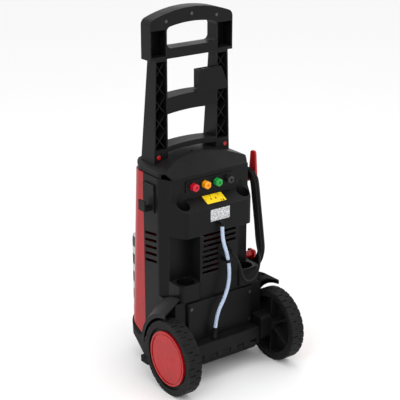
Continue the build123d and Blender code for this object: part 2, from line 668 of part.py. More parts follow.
head = head_block(0, head_front_y, leg_rear_y)
head = fillet([e for e in head.edges().filter_by(Axis.Y) if e.center().Z > head_side_z - 37], 18)
head -= grip_hole(0, head_front_y - 5, leg_rear_y + 5)
sleeve_in = leg_in_x - socket_clearance
pocket = box(sleeve_in + 4, head_half - head_wall, head_front_y + head_wall, leg_rear_y + 1,
             leg_top_z, head_side_z - 24)
sleeve = box(sleeve_in, leg_out_top + 1.2, leg_front(leg_top_z) - 2.6, leg_rear_y + 1,
             head_z0 - 1, leg_top_z + 0.5)
for side in (1, -1):
    for cut in (pocket, sleeve):
        head -= cut if side > 0 else mirror(cut, Plane.YZ)
cover_half_x = grip_half + 13.0
cover_depth = 10.0
cover_z0 = grip_high_z - 12
cover_slot = box(-cover_half_x - 0.4, cover_half_x + 0.4, leg_rear_y - cover_depth - 0.4, leg_rear_y + 1,
                 cover_z0, head_top_z + 5)
cover_slot -= grip_hole(-3, head_front_y - 5, leg_rear_y + 5)
head -= cover_slot
grip_cover = head_block(0.3, leg_rear_y - cover_depth, leg_rear_y)
grip_cover &= box(-cover_half_x, cover_half_x, -200, 0, cover_z0 + 0.4, head_top_z + 5)
grip_cover = one(grip_cover - grip_hole(0, head_front_y - 5, leg_rear_y + 5))
screw_shank_r = 1.8
screw_gap = 0.4
handle_screws = []
for x, z in ((grip_half + 1, grip_high_z + 7), (0.0, grip_high_z + 19), (-grip_half - 1, grip_high_z + 7)):
    grip_cover -= rod((x, leg_rear_y - 3, z), (x, leg_rear_y + 1, z), 4.6)
    for piece in ("head", "cover"):
        hole = rod((x, leg_rear_y - 22, z), (x, leg_rear_y, z), screw_shank_r + screw_gap)
        if piece == "head":
            head -= hole
        else:
            grip_cover -= hole
    screw = rod((x, leg_rear_y - 2.9, z), (x, leg_rear_y - 0.6, z), 4.0)
    screw -= box(x - 3, x + 3, leg_rear_y - 1.6, leg_rear_y, z - 0.6, z + 0.6)
    screw += rod((x, leg_rear_y - 20, z), (x, leg_rear_y - 2.5, z), screw_shank_r)
    handle_screws.append(one(screw))
parts["grip_head"] = one(head)
parts["grip_cover"] = grip_cover
parts["grip_screws"] = Compound(children=handle_screws)

# ---- tool pocket: a plate on the right leg with an open-topped pocket in front of it
pocket_z1 = mid_bar_z1 + 62.0
pocket_z0 = mid_bar_z1 + bar_rise + 1.5
plate = prism_y([(-10, mid_bar_z1 + 1), (-24, pocket_z1), (-leg_in_x - 12, pocket_z1),
                 (-leg_in_x - 33, mid_bar_z1 + 14), (-leg_in_x - 33, mid_bar_z1 + 1)], leg_rear_y, leg_rear_y + 5)
plate = fillet(plate.edges().filter_by(Axis.Y), 3)
bin_outer = box(-leg_in_x + 1.5, -28, leg_rear_y - 32, leg_rear_y + 1, pocket_z0, pocket_z1 - 6)
bin_inner = box(-leg_in_x + 4, -30.5, leg_rear_y - 29.5, leg_rear_y, pocket_z0 + 3, pocket_z1 + 5)
parts["tool_pocket"] = plate + (bin_outer - bin_inner)

# ---- rotary switch on the front: bezel, knob with its spindle, and the switch block behind
spindle_r = 6.0
knob_r = 22.0
bezel_y = front_face(switch_z) - 6.0
knob_y = bezel_y - 0.5
bezel = rod((0, bezel_y, switch_z), (0, bezel_y + 24, switch_z), 29) - front_mass(0)
bezel = max(bezel.solids(), key=lambda s: s.volume)
bezel -= rod((0, bezel_y - 1, switch_z), (0, bezel_y + 30, switch_z), spindle_r + 0.06)
knob = rod((0, knob_y - 8, switch_z), (0, knob_y, switch_z), knob_r)
grip = box(-6, 6, knob_y - 20, knob_y - 6, switch_z - knob_r + 1, switch_z + knob_r - 1)
knob += fillet(grip.edges().filter_by(Axis.Z), 3)
knob += rod((0, knob_y - 1, switch_z), (0, knob_y + 44, switch_z), spindle_r)
switch_block = box(-26, 26, knob_y + 28, knob_y + 62, switch_z - 27, switch_z + 27)
switch_block -= rod((0, knob_y + 20, switch_z), (0, knob_y + 46, switch_z), spindle_r + 0.4)
parts["switch_bezel"] = bezel
parts["switch_knob"] = knob
parts["switch_block"] = switch_block

# ---- motor and pump on one upright axis, standing on posts in the base
motor_y = -78.0
can_r = 62.0
can_wall = 3.0
can_z0 = 96.0
can_z1 = 300.0
shaft_r = 8.0
bearing_clearance = 0.06
stack_z0 = 150.0
stack_z1 = 240.0
air_gap = 1.0
rotor_r = 36.0


def upright(radius, z0, z1, x=0.0, y=motor_y):
    return Pos(x, y, (z0 + z1) / 2) * Cylinder(radius, z1 - z0)


can = upright(can_r, can_z0, can_z1) - upright(can_r - can_wall, can_z0 + 4, can_z1 - 4)
can -= upright(shaft_r + bearing_clearance, can_z0 - 1, can_z1 + 1)
windows = []
for i in range(8):
    window = box(-8, 8, motor_y + 40, motor_y + can_r + 2, can_z0 + 12, can_z0 + 36)
    windows.append(window.rotate(Axis((0, motor_y, 0), (0, 0, 1)), 45.0 * i + 22.5))
can -= windows
for side in (1, -1):
    can += box(side * 57 - 7, side * 57 + 7, motor_y - 9, motor_y + 9, 60, can_z0 + 2)
parts["motor_housing"] = can
parts["stator"] = upright(can_r - can_wall - 0.4, stack_z0, stack_z1) - upright(rotor_r + air_gap, 100, 300)
shaft_top = 334.0
shaft = upright(shaft_r, can_z0 - 8, shaft_top)
core = upright(rotor_r, stack_z0, stack_z1) - upright(shaft_r, 100, 320)
fan = upright(18, can_z0 + 14, can_z0 + 20) + upright(50, can_z0 + 14, can_z0 + 16)
for i in range(9):
    blade = box(-1.2, 1.2, motor_y + 14, motor_y + 49, can_z0 + 15, can_z0 + 33)
    fan += blade.rotate(Axis((0, motor_y, 0), (0, 0, 1)), 40.0 * i)
fan -= upright(shaft_r, 90, 200)
parts["motor_shaft"] = shaft
parts["rotor_core"] = core
parts["cooling_fan"] = fan

pump_r = 45.0
pump_z0 = can_z1
head_z = 356.0
pump_top_z = 424.0
piston_r = 7.0
piston_circle = 24.0
swash = upright(34, -4, 4, 0, 0).rotate(Axis.X, 8)
swash = Pos(0, motor_y, shaft_top - 8) * swash
swash += upright(14, shaft_top - 20, shaft_top - 4)
swash -= upright(shaft_r, 300, 400)
parts["wobble_plate"] = swash
parts["pump_housing"] = upright(pump_r, pump_z0, head_z) - upright(pump_r - 5, pump_z0 - 1, head_z + 1)
pump_head = box(-62, 62, motor_y - 42, motor_y + 42, head_z, pump_top_z)
pump_head = fillet(pump_head.edges().filter_by(Axis.Z), 10)
pistons = []
for i in range(3):
    angle = math.radians(120 * i + 90)
    x = piston_circle * math.cos(angle)
    y = motor_y + piston_circle * math.sin(angle)
    pump_head -= upright(piston_r + 0.3, head_z - 1, head_z + 34, x, y)
    pistons.append(upright(piston_r, shaft_top + 8, head_z + 26, x, y))
parts["pump_pistons"] = Compound(children=pistons)
parts["pressure_switch"] = upright(13, pump_top_z, pump_top_z + 26, 22, motor_y + 14)

# ---- water fittings on the pump head, through the front shell
fitting_y0 = motor_y - 42
fitting_y1 = front_face(fitting_z) - 24
outlet_r = 11.0
inlet_r = 13.2
for name, side, thread_r, bore_r in (("water_outlet", 1, outlet_r, 5.0), ("water_inlet", -1, inlet_r, 8.0)):
    x = side * fitting_x
    piece = rod((x, fitting_y0, fitting_z), (x, front_face(fitting_z) - 6, fitting_z), fitting_hole_r - 1.5)
    piece += rod((x, fitting_y0, fitting_z), (x, fitting_y1, fitting_z), thread_r)
    piece -= rod((x, fitting_y0 + 8, fitting_z), (x, fitting_y1 - 1, fitting_z), bore_r)
    parts[name] = piece
parts["pump_head"] = pump_head

# ---- screws in the top cap and the lower rear cover, pan heads on the surface
cover_screws = []
for x in (11.6 - cover_half, cover_half - 11.6):
    for z in (beam_z1 + 16, lower_z - 16):
        hole = rod((x, cover_rear_y - wall - 1, z), (x, cover_rear_y + 1, z), screw_shank_r + screw_gap)
        parts["lower_rear_cover"] -= hole
        screw = rod((x, cover_rear_y, z), (x, cover_rear_y + 2.2, z), 4.5)
        screw -= box(x - 3.2, x + 3.2, cover_rear_y + 1.2, cover_rear_y + 3, z - 0.6, z + 0.6)
        cover_screws.append(one(screw + rod((x, cover_rear_y - 14, z), (x, cover_rear_y + 1, z),
                                            screw_shank_r)))
cap_screw_x = 9.0
cap_screw_y = -44.0
cap_screw_z = cap_crown_z - 4
parts["top_cap"] += upright(8, cap_screw_z - 16, cap_screw_z + 2, cap_screw_x, cap_screw_y)
parts["top_cap"] -= upright(5.2, cap_screw_z, cap_crown_z + 5, cap_screw_x, cap_screw_y)
parts["top_cap"] -= upright(screw_shank_r + screw_gap, cap_crown_z - 90, cap_crown_z, cap_screw_x,
                            cap_screw_y)
screw = upright(4.6, cap_screw_z, cap_screw_z + 2.2, cap_screw_x, cap_screw_y)
screw -= box(cap_screw_x - 3.2, cap_screw_x + 3.2, cap_screw_y - 0.6, cap_screw_y + 0.6,
             cap_screw_z + 1.2, cap_crown_z + 30)
cover_screws.append(one(screw + upright(screw_shank_r, cap_screw_z - 15, cap_screw_z + 1, cap_screw_x,
                                        cap_screw_y)))
parts["cover_screws"] = Compound(children=cover_screws)

# ---- cords. A tube is straight runs joined by arcs as large as the runs allow.
lead_r = 3.5
hose_r = 5.0
hose_bore_r = 3.5


def route_radii(points):
    """Radius of each corner's arc: 0.45 of the shorter run over the tangent of half the turn."""
    radii = []
    for a, b, c in zip(points, points[1:], points[2:]):
        before = Vector(*b) - Vector(*a)
        after = Vector(*c) - Vector(*b)
        half_turn = math.radians(before.get_angle(after)) / 2
        radii.append(0.45 * min(before.length, after.length) / math.tan(half_turn))
    return radii


def cord_tube(name, points, radius, bore=0.0):
    radii = route_radii(points)
    path = FilletPolyline(*points, radius=radii)
    start = Plane(origin=points[0], z_dir=Vector(*points[1]) - Vector(*points[0]))
    solid = sweep(start * Circle(radius), path=path)
    if bore:
        solid -= sweep(start * Circle(bore), path=path)
    area = math.pi * (radius ** 2 - bore ** 2)
    print(name, "arc radii", [round(r) for r in radii], "length", round(path.length, 1),
          "volume over section x length", round(solid.volume / (area * path.length), 4))
    return solid


# power lead: out of its gland in the rear face, round the corner and into the hank
gland_x = -27.0
gland_z = 343.0
gland = tube((gland_x, rear_y - 14, gland_z), (gland_x, rear_y + 14, gland_z), 6.0, lead_r)
gland += tube((gland_x, rear_y, gland_z), (gland_x, rear_y + 5, gland_z), 11.0, lead_r)
gland += tube((gland_x, rear_y - wall - 5, gland_z), (gland_x, rear_y - wall, gland_z), 10.0, lead_r)
parts["rear_shell"] -= rod((gland_x, rear_y - 8, gland_z), (gland_x, rear_y + 2, gland_z), 6.4)
parts["cord_gland"] = gland
lead_route = [(gland_x, 60, gland_z), (-28, 89, 338), (-32, 109, 316), (-39, 111, 284), (-55, 105, 257),
              (-83, 98, 248), (-111, 88, 260), (-131, 73, 282), (-142, 54, 303), (-149, 36, 327)]
parts["power_lead"] = cord_tube("power_lead", lead_route, lead_r)

# the hank hangs round both hooks, narrow above and wide below
hank_x0 = hook_in_x - 27.6
hank_x1 = hook_in_x - 7.6
hank_top_z = upper_hook_z - 8.5
hank_low_z = lower_hook_z + 36.0


def teardrop(top_r, low_r):
    """Outline round two circles, one above the other, joined by their tangents."""
    reach = hank_top_z - hank_low_z
    tilt = math.asin((low_r - top_r) / reach)
    c, s = math.cos(tilt), math.sin(tilt)
    points = [(cable_hook_y + top_r * c, hank_top_z + top_r * s),
              (cable_hook_y + low_r * c, hank_low_z + low_r * s)]
    left = [(2 * cable_hook_y - y, z) for y, z in points]
    top = ThreePointArc((hank_x0, *left[0]), (hank_x0, cable_hook_y, hank_top_z + top_r),
                        (hank_x0, *points[0]))
    low = ThreePointArc((hank_x0, *points[1]), (hank_x0, cable_hook_y, hank_low_z - low_r),
                        (hank_x0, *left[1]))
    outline = top + Line((hank_x0, *points[0]), (hank_x0, *points[1])) + low
    return make_face(outline + Line((hank_x0, *left[1]), (hank_x0, *left[0])))


hank = teardrop(40.0, 76.0) - teardrop(18.0, 50.0)
parts["power_coil"] = extrude(hank, amount=hank_x1 - hank_x0, dir=(1, 0, 0))

# plug: hangs by its strain relief from the front of the hank
plug_y = -80.0
plug_x = hook_in_x - 17.6
plug_z1 = hank_low_z - 58.0
plug = upright(5.0, plug_z1 - 1, plug_z1 + 22, plug_x, plug_y)
plug += upright(16.0, plug_z1 - 46, plug_z1, plug_x, plug_y)
plug = fillet(plug.edges().filter_by(GeomType.CIRCLE).group_by(Axis.Z)[-2], 4)
for y in (-9.5, 9.5):
    plug += upright(2.4, plug_z1 - 64, plug_z1 - 45, plug_x, plug_y + y)
parts["plug"] = plug

# detergent hose: from an elbow in the rear face down to a strainer that stands on the base's beam
elbow_z = 423.0
elbow_y = 78.0
elbow = rod((0, rear_y - 16, elbow_z), (0, elbow_y, elbow_z), 5.5)
elbow += rod((0, rear_y, elbow_z), (0, rear_y + 2.5, elbow_z), 6.5)
elbow += Pos(0, elbow_y, elbow_z) * Sphere(5.5)
elbow += rod((0, elbow_y, elbow_z - 7), (0, elbow_y, elbow_z), 5.5)
elbow += rod((0, elbow_y, elbow_z - 22), (0, elbow_y, elbow_z), hose_bore_r)
parts["hose_elbow"] = elbow
parts["rear_shell"] -= rod((0, rear_y - 8, elbow_z), (0, rear_y + 0.01, elbow_z), 5.9)
hose_route = [(0, elbow_y, elbow_z - 7), (0, 78.5, 380), (-11, 85, 340), (-17, 88, 298), (-14, 90, 256),
              (1, 91, 218), (26, 92, 182), (32, 92.5, 143)]
parts["detergent_hose"] = cord_tube("detergent_hose", hose_route, hose_r, hose_bore_r)
hose_end = Vector(*hose_route[-1])
hose_dir = (hose_end - Vector(*hose_route[-2])).normalized()


def along_hose(start, end, radius):
    plane = Plane(origin=hose_end + hose_dir * start, z_dir=hose_dir)
    return extrude(plane * Circle(radius), amount=end - start)


strainer = along_hose(0, 5, 6.0) + along_hose(-12, 1, hose_bore_r) + along_hose(4, 27, 8.0)
for i in range(4):
    strainer -= along_hose(8 + 4.5 * i, 10 + 4.5 * i, 9.0) - along_hose(8 + 4.5 * i, 10 + 4.5 * i, 6.6)
parts["strainer"] = strainer

# clip that holds the hose to the rear face
clip_a = Vector(*hose_route[2])
clip_b = Vector(*hose_route[3])
clip_dir = (clip_b - clip_a).normalized()
clip_at = clip_a + (clip_b - clip_a) * 0.5
clip_plane = Plane(origin=clip_at - clip_dir * 4, z_dir=clip_dir)
clip = extrude(clip_plane * Circle(7.6), amount=8)
clip += box(clip_at.X - 4, clip_at.X + 4, rear_y, clip_at.Y - 5, clip_at.Z - 4, clip_at.Z + 4)
clip -= extrude(Plane(origin=clip_at - clip_dir * 20, z_dir=clip_dir) * Circle(hose_r + 0.35), amount=40)
parts["hose_clip"] = clip

# ---- one file for each piece
os.makedirs("parts", exist_ok=True)
for node, shape in parts.items():
    export_step(shape, f"parts/{node}.step")
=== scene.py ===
import bpy
import bmesh
import math
from mathutils import Matrix, Vector


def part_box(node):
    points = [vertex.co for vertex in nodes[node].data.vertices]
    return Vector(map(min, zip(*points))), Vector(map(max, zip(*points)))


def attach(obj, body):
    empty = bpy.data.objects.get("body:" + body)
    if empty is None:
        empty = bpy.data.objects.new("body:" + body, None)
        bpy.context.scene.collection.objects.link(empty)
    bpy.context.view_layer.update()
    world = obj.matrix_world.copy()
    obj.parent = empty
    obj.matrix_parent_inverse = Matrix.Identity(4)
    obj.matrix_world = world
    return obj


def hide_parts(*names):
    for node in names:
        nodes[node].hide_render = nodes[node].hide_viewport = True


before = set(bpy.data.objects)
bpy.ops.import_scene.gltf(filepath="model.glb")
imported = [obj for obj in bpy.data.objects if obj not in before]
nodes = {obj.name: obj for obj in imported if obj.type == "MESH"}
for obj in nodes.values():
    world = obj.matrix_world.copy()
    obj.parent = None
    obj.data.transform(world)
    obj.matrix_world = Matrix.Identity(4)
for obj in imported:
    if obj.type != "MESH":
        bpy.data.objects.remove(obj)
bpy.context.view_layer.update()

# ---------------------------------------------------------------- black housing mouldings
# The rear shell, base, cover, cap, fenders, brackets and cups are injection-moulded polypropylene with a
# fine spark-eroded grain. Edges polish and pale with handling, and are painted paler still as a highlight; flat
# tops hold a little dust.


def new_group(name, inputs, outputs):
    """An empty shader node group with number inputs and number outputs."""
    group = bpy.data.node_groups.new(name, "ShaderNodeTree")
    for label, default in inputs:
        socket = group.interface.new_socket(name=label, in_out="INPUT", socket_type="NodeSocketFloat")
        socket.default_value = default
    for label in outputs:
        group.interface.new_socket(name=label, in_out="OUTPUT", socket_type="NodeSocketFloat")
    start = group.nodes.new("NodeGroupInput")
    end = group.nodes.new("NodeGroupOutput")
    return group, start, end


def add(tree, kind, links=(), **settings):
    """A node with its settings made, and its sockets filled from a list of (socket, source or value)."""
    node = tree.nodes.new(kind)
    for key, value in settings.items():
        setattr(node, key, value)
    for socket, source in links:
        if isinstance(source, bpy.types.NodeSocket):
            tree.links.new(source, node.inputs[socket])
        else:
            node.inputs[socket].default_value = source
    return node


def ramp(tree, source, low, high):
    """0 below low, 1 above high."""
    node = add(tree, "ShaderNodeMapRange", [(0, source), (1, low), (2, high)])
    return node.outputs[0]


def maths(tree, operation, first, second):
    node = add(tree, "ShaderNodeMath", [(0, first), (1, second)], operation=operation)
    return node.outputs[0]


def mixed(tree, share, first, second):
    """A colour between two others."""
    node = add(tree, "ShaderNodeMix", [(0, share), (6, first), (7, second)], data_type="RGBA")
    return node.outputs[2]


# Edge wear and painted highlight: where a rounded normal leaves the true one, broken up by a scuffed noise. The
# paler edge colour is partly rubbed wear and partly a painted highlight of the kind a rounded edge catches.
edge_wear_and_highlight, start, end = new_group("edge wear and painted highlight", [("Radius", 0.002), ("Amount", 0.5)], ["Mask"])
bevelled = add(edge_wear_and_highlight, "ShaderNodeBevel", [("Radius", start.outputs["Radius"])], samples=6)
geometry = add(edge_wear_and_highlight, "ShaderNodeNewGeometry")
facing = add(edge_wear_and_highlight, "ShaderNodeVectorMath", [(0, bevelled.outputs[0]), (1, geometry.outputs["Normal"])],
             operation="DOT_PRODUCT")
edge = ramp(edge_wear_and_highlight, facing.outputs["Value"], 0.998, 0.93)
place = add(edge_wear_and_highlight, "ShaderNodeTexCoord")
scuff = add(edge_wear_and_highlight, "ShaderNodeTexNoise", [("Vector", place.outputs["Object"]), ("Scale", 55.0),
                                              ("Detail", 6.0)])
broken = maths(edge_wear_and_highlight, "MULTIPLY", edge, ramp(edge_wear_and_highlight, scuff.outputs[0], 0.38, 0.62))
edge_wear_and_highlight.links.new(maths(edge_wear_and_highlight, "MULTIPLY", broken, start.outputs["Amount"]), end.inputs["Mask"])

# Moulded grain: a leathery cell pattern over a slow mottle left by the flow of the plastic.
grain, start, end = new_group("moulded grain", [("Scale", 900.0)], ["Height", "Mottle"])
place = add(grain, "ShaderNodeTexCoord")
cells = add(grain, "ShaderNodeTexVoronoi", [("Vector", place.outputs["Object"]),
                                            ("Scale", start.outputs["Scale"])])
fine = add(grain, "ShaderNodeTexNoise", [("Vector", place.outputs["Object"]), ("Scale", start.outputs["Scale"]),
                                         ("Detail", 3.0)])
grain.links.new(maths(grain, "ADD", cells.outputs["Distance"], fine.outputs[0]), end.inputs["Height"])
mottle = add(grain, "ShaderNodeTexNoise", [("Vector", place.outputs["Object"]), ("Scale", 14.0),
                                           ("Detail", 5.0)])
grain.links.new(mottle.outputs[0], end.inputs["Mottle"])

# Dust: settles on what faces up, in patches.
dust, start, end = new_group("settled dust", [("Amount", 0.2)], ["Mask"])
geometry = add(dust, "ShaderNodeNewGeometry")
split = add(dust, "ShaderNodeSeparateXYZ", [(0, geometry.outputs["Normal"])])
place = add(dust, "ShaderNodeTexCoord")
patches = add(dust, "ShaderNodeTexNoise", [("Vector", place.outputs["Object"]), ("Scale", 9.0),
                                           ("Detail", 8.0)])
upward = maths(dust, "MULTIPLY", ramp(dust, split.outputs["Z"], 0.25, 1.0),
               ramp(dust, patches.outputs[0], 0.3, 0.7))
dust.links.new(maths(dust, "MULTIPLY", upward, start.outputs["Amount"]), end.inputs["Mask"])


def moulded(name, colour, worn_and_highlit, roughness, grain_scale=900.0, grain_depth=0.00006, wear_and_highlight=0.5, dusty=0.06,
            coat=0.0, sheen_spread=0.12, specular=0.12):
    """Moulded plastic: mottled colour, grain, paler edges (rubbed wear and a painted highlight) and dust on
    top.
    """
    material = bpy.data.materials.new(name)
    material.use_nodes = True
    tree = material.node_tree
    shader = tree.nodes["Principled BSDF"]
    texture = add(tree, "ShaderNodeGroup", node_tree=grain)
    texture.inputs["Scale"].default_value = grain_scale
    edges = add(tree, "ShaderNodeGroup", node_tree=edge_wear_and_highlight)
    edges.inputs["Amount"].default_value = wear_and_highlight
    film = add(tree, "ShaderNodeGroup", node_tree=dust)
    film.inputs["Amount"].default_value = dusty
    darker = [c * 0.88 for c in colour] + [1]
    lighter = [min(1.0, c * 1.12) for c in colour] + [1]
    base = mixed(tree, ramp(tree, texture.outputs["Mottle"], 0.3, 0.7), darker, lighter)
    # Paler edges: rubbed wear, and a painted highlight where a rounded edge would catch the light.
    base = mixed(tree, edges.outputs["Mask"], base, worn_and_highlit + [1])
    base = mixed(tree, film.outputs["Mask"], base, [0.16, 0.15, 0.14, 1])
    tree.links.new(base, shader.inputs["Base Color"])
    rough = add(tree, "ShaderNodeMapRange", [(0, texture.outputs["Mottle"]), (1, 0.3), (2, 0.7),
                                             (3, roughness - sheen_spread / 2),
                                             (4, roughness + sheen_spread / 2)])
    rough = maths(tree, "ADD", rough.outputs[0], maths(tree, "MULTIPLY", film.outputs["Mask"], 0.3))
    rough = maths(tree, "SUBTRACT", rough, maths(tree, "MULTIPLY", edges.outputs["Mask"], 0.12))
    tree.links.new(rough, shader.inputs["Roughness"])
    bump = add(tree, "ShaderNodeBump", [("Height", texture.outputs["Height"]), ("Strength", 0.6),
                                        ("Distance", grain_depth)])
    tree.links.new(bump.outputs[0], shader.inputs["Normal"])
    shader.inputs["Specular IOR Level"].default_value = specular
    shader.inputs["Coat Weight"].default_value = coat
    shader.inputs["Coat Roughness"].default_value = 0.12
    return material


def dress(material, *names):
    """Give CAD nodes their finish."""
    for name in names:
        data = nodes[name]
        for holder in data.material_slots:
            holder.material = material
        if not data.material_slots:
            data.data.materials.append(material)


housing_black = moulded("housing black", [0.0045, 0.0045, 0.005], [0.028, 0.028, 0.030], 0.42, 820.0)
dress(housing_black, "rear_shell", "base_tray", "lower_rear_cover", "fenders", "axle_brackets", "side_hook")
cap_black = moulded("cap black", [0.005, 0.005, 0.0055], [0.03, 0.03, 0.032], 0.42, 820.0, dusty=0.07)
dress(cap_black, "top_cap", "nozzle_rack")
cup_black = moulded("cup black", [0.004, 0.004, 0.0045], [0.022, 0.022, 0.024], 0.42, 1200.0, dusty=0.05)
dress(cup_black, "lance_cups", "hose_clip", "cord_gland", "hose_elbow", "strainer", "switch_block",
      "pressure_switch", "cooling_fan", "grille_insert")

# ---------------------------------------------------------------- handle
# Two ribbed legs and two bars in one glass-filled moulding, with a sleeve-like head and a screwed grip
# cover. The same black, a little glossier where hands rub the grip.
handle_black = moulded("handle black", [0.0045, 0.0045, 0.005], [0.03, 0.03, 0.032], 0.42, 700.0,
                       0.00005, dusty=0.06)
dress(handle_black, "handle_frame", "tool_pocket")
grip_black = moulded("grip black", [0.0045, 0.0045, 0.005], [0.035, 0.035, 0.037], 0.38, 1100.0,
                     0.00004, wear_and_highlight=0.7)
dress(grip_black, "grip_head", "grip_cover")

# ---------------------------------------------------------------- red mouldings
# The front shell, hub caps, cable hooks and snap buttons are red ABS with a smooth, slightly rippled gloss.
shell_red = moulded("shell red", [0.33, 0.003, 0.006], [0.45, 0.04, 0.035], 0.30, 260.0, 0.00002, wear_and_highlight=0.35,
                    dusty=0.04, coat=0.08, sheen_spread=0.10, specular=0.25)
dress(shell_red, "front_shell")
cap_red = moulded("hub cap red", [0.38, 0.003, 0.005], [0.50, 0.05, 0.045], 0.28, 320.0, 0.000015, wear_and_highlight=0.5,
                  dusty=0.04, coat=0.08, sheen_spread=0.08, specular=0.25)
dress(cap_red, "hub_cap_left", "hub_cap_right", "cable_hook", "lower_cable_hook", "snap_button_left",
      "snap_button_right")

# ---------------------------------------------------------------- wheels
# Solid moulded treads on spoked rims. The tread scuffs grey where it meets the ground; its paler edges are that
# wear plus a painted highlight.
tyre_black = moulded("tread black", [0.007, 0.007, 0.0075], [0.035, 0.034, 0.032], 0.62, 520.0, 0.00016,
                     wear_and_highlight=0.9, dusty=0.06, sheen_spread=0.16)
dress(tyre_black, "tyre_left", "tyre_right", "front_feet")
rim_black = moulded("rim black", [0.008, 0.008, 0.0085], [0.035, 0.035, 0.037], 0.48, 900.0)
dress(rim_black, "rim_left", "rim_right")

# ---------------------------------------------------------------- grille and switch
# A satin light-grey surround on the front, with a dark mesh pattern between the slanted bands of its
# sides. The switch bezel and knob are semi-gloss black.
band_slant = 0.35
bands_per_metre = 19.0
pale_share = 0.42
flank_x = 0.1003
mesh_scale = 260.0
surround_grey = moulded("surround grey", [0.46, 0.47, 0.48], [0.62, 0.62, 0.62], 0.36, 1000.0, 0.00003,
                        dusty=0.05, specular=0.4)
tree = surround_grey.node_tree
shader = tree.nodes["Principled BSDF"]
plain = shader.inputs["Base Color"].links[0].from_socket
place = add(tree, "ShaderNodeTexCoord")
axes = add(tree, "ShaderNodeSeparateXYZ", [(0, place.outputs["Object"])])
slanted = maths(tree, "ADD", axes.outputs["Z"], maths(tree, "MULTIPLY", axes.outputs["Y"], band_slant))
band = maths(tree, "GREATER_THAN", maths(tree, "FRACT", maths(tree, "MULTIPLY", slanted, bands_per_metre), 0.0),
             pale_share)
on_side = maths(tree, "GREATER_THAN", maths(tree, "ABSOLUTE", axes.outputs["X"], 0.0), flank_x)
mesh_cells = add(tree, "ShaderNodeTexVoronoi", [("Vector", place.outputs["Object"]), ("Scale", mesh_scale)])
woven = mixed(tree, ramp(tree, mesh_cells.outputs["Distance"], 0.25, 0.5), [0.004, 0.004, 0.0045, 1],
              [0.022, 0.022, 0.024, 1])
tree.links.new(mixed(tree, maths(tree, "MULTIPLY", band, on_side), plain, woven), shader.inputs["Base Color"])
dress(surround_grey, "grille_surround")
knob_black = moulded("knob black", [0.02, 0.02, 0.021], [0.1, 0.1, 0.1], 0.30, 600.0, 0.00003, coat=0.2)
dress(knob_black, "switch_knob", "switch_bezel")

# ---------------------------------------------------------------- metal parts
# Zinc-plated steel screws, axle and shaft, turned brass water fittings, and cast aluminium on the pump.


def metal(name, colour, stained, roughness, brush=(40.0, 40.0, 900.0), depth=0.00002, wear_and_highlight=0.4):
    """Metal: drawn-out brush marks, blotchy tarnish and bright edges (wear and a painted highlight)."""
    material = bpy.data.materials.new(name)
    material.use_nodes = True
    tree = material.node_tree
    shader = tree.nodes["Principled BSDF"]
    place = add(tree, "ShaderNodeTexCoord")
    drawn = add(tree, "ShaderNodeMapping", [("Vector", place.outputs["Object"]), ("Scale", brush)])
    marks = add(tree, "ShaderNodeTexNoise", [("Vector", drawn.outputs[0]), ("Scale", 4.0), ("Detail", 4.0)])
    blotches = add(tree, "ShaderNodeTexNoise", [("Vector", place.outputs["Object"]), ("Scale", 60.0),
                                                ("Detail", 6.0)])
    edges = add(tree, "ShaderNodeGroup", node_tree=edge_wear_and_highlight)
    edges.inputs["Radius"].default_value = 0.0008
    edges.inputs["Amount"].default_value = wear_and_highlight
    base = mixed(tree, ramp(tree, blotches.outputs[0], 0.35, 0.75), colour + [1], stained + [1])
    # Brighter edges: wear, and a painted highlight along them.
    base = mixed(tree, edges.outputs["Mask"], base, [min(1.0, c * 1.3) for c in colour] + [1])
    tree.links.new(base, shader.inputs["Base Color"])
    rough = add(tree, "ShaderNodeMapRange", [(0, marks.outputs[0]), (1, 0.3), (2, 0.7), (3, roughness - 0.08),
                                             (4, roughness + 0.1)])
    tree.links.new(rough.outputs[0], shader.inputs["Roughness"])
    bump = add(tree, "ShaderNodeBump", [("Height", marks.outputs[0]), ("Strength", 0.5), ("Distance", depth)])
    tree.links.new(bump.outputs[0], shader.inputs["Normal"])
    shader.inputs["Metallic"].default_value = 1.0
    return material


zinc = metal("zinc plate", [0.55, 0.55, 0.56], [0.38, 0.37, 0.34], 0.34)
dress(zinc, "axle", "axle_retainers", "motor_shaft", "pump_pistons")
dark_screw = metal("black zinc screw", [0.10, 0.10, 0.105], [0.06, 0.055, 0.05], 0.4)
dress(dark_screw, "grip_screws", "cover_screws")
brass = metal("turned brass", [0.72, 0.50, 0.20], [0.45, 0.29, 0.12], 0.28)
dress(brass, "water_outlet", "water_inlet")
cast_alloy = metal("cast alloy", [0.5, 0.5, 0.5], [0.36, 0.36, 0.35], 0.5, (90.0, 90.0, 90.0), 0.0001)
dress(cast_alloy, "motor_housing", "pump_housing", "pump_head", "wobble_plate")
laminated = metal("laminated steel", [0.22, 0.22, 0.23], [0.13, 0.11, 0.10], 0.5, (4.0, 4.0, 2500.0), 0.0002)
dress(laminated, "stator", "rotor_core")

